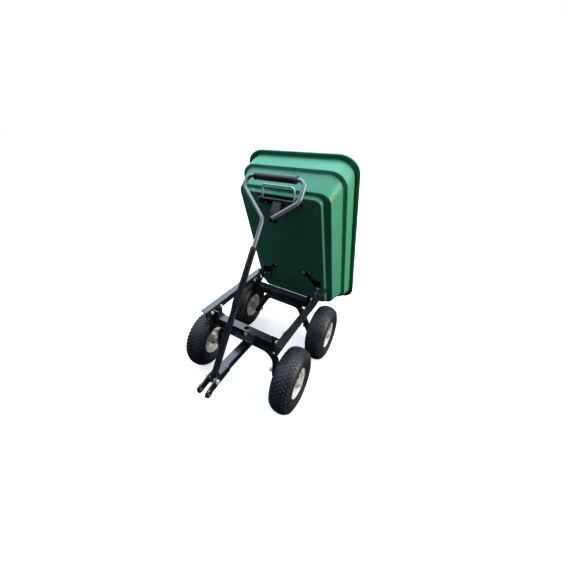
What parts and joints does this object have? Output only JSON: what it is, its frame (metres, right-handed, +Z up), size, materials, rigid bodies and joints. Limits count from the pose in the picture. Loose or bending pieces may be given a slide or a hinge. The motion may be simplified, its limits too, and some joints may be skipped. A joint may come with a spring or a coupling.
{
  "type": "garden cart",
  "caption": "Poly tipping garden cart with a dump tub, pneumatic wheels, a steered front axle, a drawbar and a folding loop handle.",
  "frame": {"origin": "centre of the cart's footprint on the ground, under the middle of its bounding box, tub tipped back", "axes": "+Z up, the handle and front axle to -Y, the tub tips to +Y, +X to the cart's left side"},
  "size_m": [0.502, 0.9849, 0.9311],
  "materials": {
    "tub_poly": "satin moulded polyethylene, green",
    "frame_paint": "satin black powder coat",
    "tyre_rubber": "block tread, matte",
    "tube_rubber": "matte",
    "rim_paint": "gloss cream enamel",
    "zinc_steel": "bright zinc plate",
    "handle_steel": "satin silver",
    "grip_rubber": "matte black foam",
    "black_plastic": "matte black"
  },
  "bodies": {
    "frame": {"side_rail_left": "frame_paint", "side_rail_right": "frame_paint", "front_crossmember": "frame_paint", "rear_crossmember": "frame_paint", "front_brackets": "frame_paint", "rear_brackets": "frame_paint", "rear_axle_arch": "frame_paint", "rear_axle_stubs": "zinc_steel", "kingpin": "zinc_steel", "frame_bolts": "zinc_steel", "rear_wheel_fasteners": "zinc_steel", "hinge_bolts": "zinc_steel", "hinge_bushes": "zinc_steel"},
    "steering": {"front_axle_arch": "frame_paint", "front_axle_stubs": "zinc_steel", "pivot_sleeve": "frame_paint", "drawbar": "frame_paint", "hitch_plates": "frame_paint", "front_wheel_fasteners": "zinc_steel", "handle_pivot_bolt": "zinc_steel"},
    "handle": {"handle_stem": "frame_paint", "stem_collar": "black_plastic", "handle_loop": "handle_steel", "handle_grip": "grip_rubber", "loop_end_cap": "black_plastic"},
    "tub_assembly": {"tub": "tub_poly", "hinge_lugs": "frame_paint", "tub_bolts": "zinc_steel", "latch_bracket": "frame_paint", "latch_pivot_rod": "zinc_steel"},
    "latch": {"latch_hook": "frame_paint", "latch_bail": "handle_steel"},
    "front_left_wheel": {"front_left_tyre": "tyre_rubber", "front_left_inner_tube": "tube_rubber", "front_left_rim_outer": "rim_paint", "front_left_rim_inner": "rim_paint", "front_left_hub": "zinc_steel", "front_left_bearings": "zinc_steel", "front_left_rim_bolts": "zinc_steel"},
    "front_right_wheel": {"front_right_tyre": "tyre_rubber", "front_right_inner_tube": "tube_rubber", "front_right_rim_outer": "rim_paint", "front_right_rim_inner": "rim_paint", "front_right_hub": "zinc_steel", "front_right_bearings": "zinc_steel", "front_right_rim_bolts": "zinc_steel"},
    "rear_left_wheel": {"rear_left_tyre": "tyre_rubber", "rear_left_inner_tube": "tube_rubber", "rear_left_rim_outer": "rim_paint", "rear_left_rim_inner": "rim_paint", "rear_left_hub": "zinc_steel", "rear_left_bearings": "zinc_steel", "rear_left_rim_bolts": "zinc_steel"},
    "rear_right_wheel": {"rear_right_tyre": "tyre_rubber", "rear_right_inner_tube": "tube_rubber", "rear_right_rim_outer": "rim_paint", "rear_right_rim_inner": "rim_paint", "rear_right_hub": "zinc_steel", "rear_right_bearings": "zinc_steel", "rear_right_rim_bolts": "zinc_steel"}
  },
  "joints": [
    {"name": "tub_tip", "type": "hinge", "parent": "frame", "child": "tub_assembly", "pos_m": [0, 0.1855, 0.307], "axis": [1, 0, 0], "range_deg": [0, 67.4]},
    {"name": "handle_pitch", "type": "hinge", "parent": "steering", "child": "handle", "pos_m": [0, -0.4305, 0.197], "axis": [1, 0, 0], "range_deg": [0, 129]},
    {"name": "steering_pivot", "type": "hinge", "parent": "frame", "child": "steering", "pos_m": [0, -0.2145, 0.212], "axis": [0, 0, 1], "range_deg": [-12, 12]},
    {"name": "latch_pivot", "type": "hinge", "parent": "tub_assembly", "child": "latch", "pos_m": [0, 0.00081, 0.75979], "axis": [1, 0, 0], "range_deg": [0, 16]},
    {"name": "front_left_wheel_spin", "type": "hinge", "parent": "steering", "child": "front_left_wheel", "pos_m": [0.208, -0.2145, 0.128], "axis": [1, 0, 0], "continuous": true},
    {"name": "front_right_wheel_spin", "type": "hinge", "parent": "steering", "child": "front_right_wheel", "pos_m": [-0.208, -0.2145, 0.128], "axis": [1, 0, 0], "continuous": true},
    {"name": "rear_left_wheel_spin", "type": "hinge", "parent": "frame", "child": "rear_left_wheel", "pos_m": [0.208, 0.1155, 0.128], "axis": [1, 0, 0], "continuous": true},
    {"name": "rear_right_wheel_spin", "type": "hinge", "parent": "frame", "child": "rear_right_wheel", "pos_m": [-0.208, 0.1155, 0.128], "axis": [1, 0, 0], "continuous": true}
  ],
  "couplings": [
    {"joint": "handle_pitch", "follows": "tub_tip", "ratio": 1.9}
  ]
}
